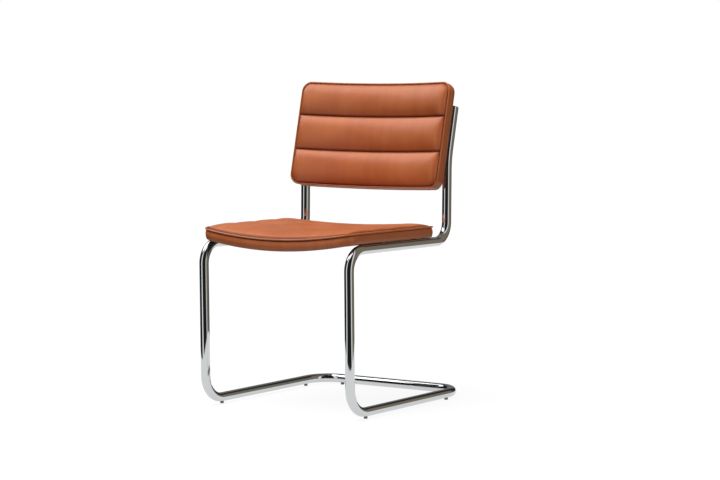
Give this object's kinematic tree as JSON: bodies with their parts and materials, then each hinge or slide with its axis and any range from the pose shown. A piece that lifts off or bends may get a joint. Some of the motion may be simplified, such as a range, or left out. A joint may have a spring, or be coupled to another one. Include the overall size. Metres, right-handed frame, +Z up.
{
  "type": "cantilever chair",
  "caption": "Cantilever dining chair: one bent chromed tube as floor frame, legs, seat rails and uprights, with a channelled tan leather seat pad and back pad.",
  "frame": {"origin": "on the floor, at the centre of the chair's length and width", "axes": "+Z up; the sitter faces -Y; +X is to the right as seen from the front"},
  "size_m": [0.5, 0.5462, 0.8575],
  "materials": {
    "chrome_tube": "polished",
    "lug_steel": "polished",
    "cap_plastic": "matte",
    "glide_plastic": "matte",
    "spacer_plastic": "matte",
    "tan_leather": "satin",
    "lining_cloth": "matte",
    "plywood": "matte",
    "foam": "matte",
    "screw_steel": "satin",
    "insert_brass": "satin"
  },
  "bodies": {
    "root": {"back_band": "tan_leather", "back_board": "plywood", "back_cover": "tan_leather", "back_foam": "foam", "back_insert_left_1": "insert_brass", "back_insert_left_2": "insert_brass", "back_insert_right_1": "insert_brass", "back_insert_right_2": "insert_brass", "back_lining": "tan_leather", "back_lug_left_1": "lug_steel", "back_lug_left_2": "lug_steel", "back_lug_right_1": "lug_steel", "back_lug_right_2": "lug_steel", "back_screw_left_1": "screw_steel", "back_screw_left_2": "screw_steel", "back_screw_right_1": "screw_steel", "back_screw_right_2": "screw_steel", "back_spacer_left_1": "spacer_plastic", "back_spacer_left_2": "spacer_plastic", "back_spacer_right_1": "spacer_plastic", "back_spacer_right_2": "spacer_plastic", "back_welt": "tan_leather", "frame_tube": "chrome_tube", "glide_cross_left": "glide_plastic", "glide_cross_right": "glide_plastic", "glide_front_left": "glide_plastic", "glide_front_right": "glide_plastic", "glide_rail_left": "glide_plastic", "glide_rail_right": "glide_plastic", "seat_band": "tan_leather", "seat_board": "plywood", "seat_cover": "tan_leather", "seat_foam": "foam", "seat_insert_left_1": "insert_brass", "seat_insert_left_2": "insert_brass", "seat_insert_right_1": "insert_brass", "seat_insert_right_2": "insert_brass", "seat_lining": "lining_cloth", "seat_lug_left_1": "lug_steel", "seat_lug_left_2": "lug_steel", "seat_lug_right_1": "lug_steel", "seat_lug_right_2": "lug_steel", "seat_screw_left_1": "screw_steel", "seat_screw_left_2": "screw_steel", "seat_screw_right_1": "screw_steel", "seat_screw_right_2": "screw_steel", "seat_spacer_left_1": "spacer_plastic", "seat_spacer_left_2": "spacer_plastic", "seat_spacer_right_1": "spacer_plastic", "seat_spacer_right_2": "spacer_plastic", "seat_welt": "tan_leather", "upright_cap_left": "cap_plastic", "upright_cap_right": "cap_plastic"}
  },
  "joints": []
}
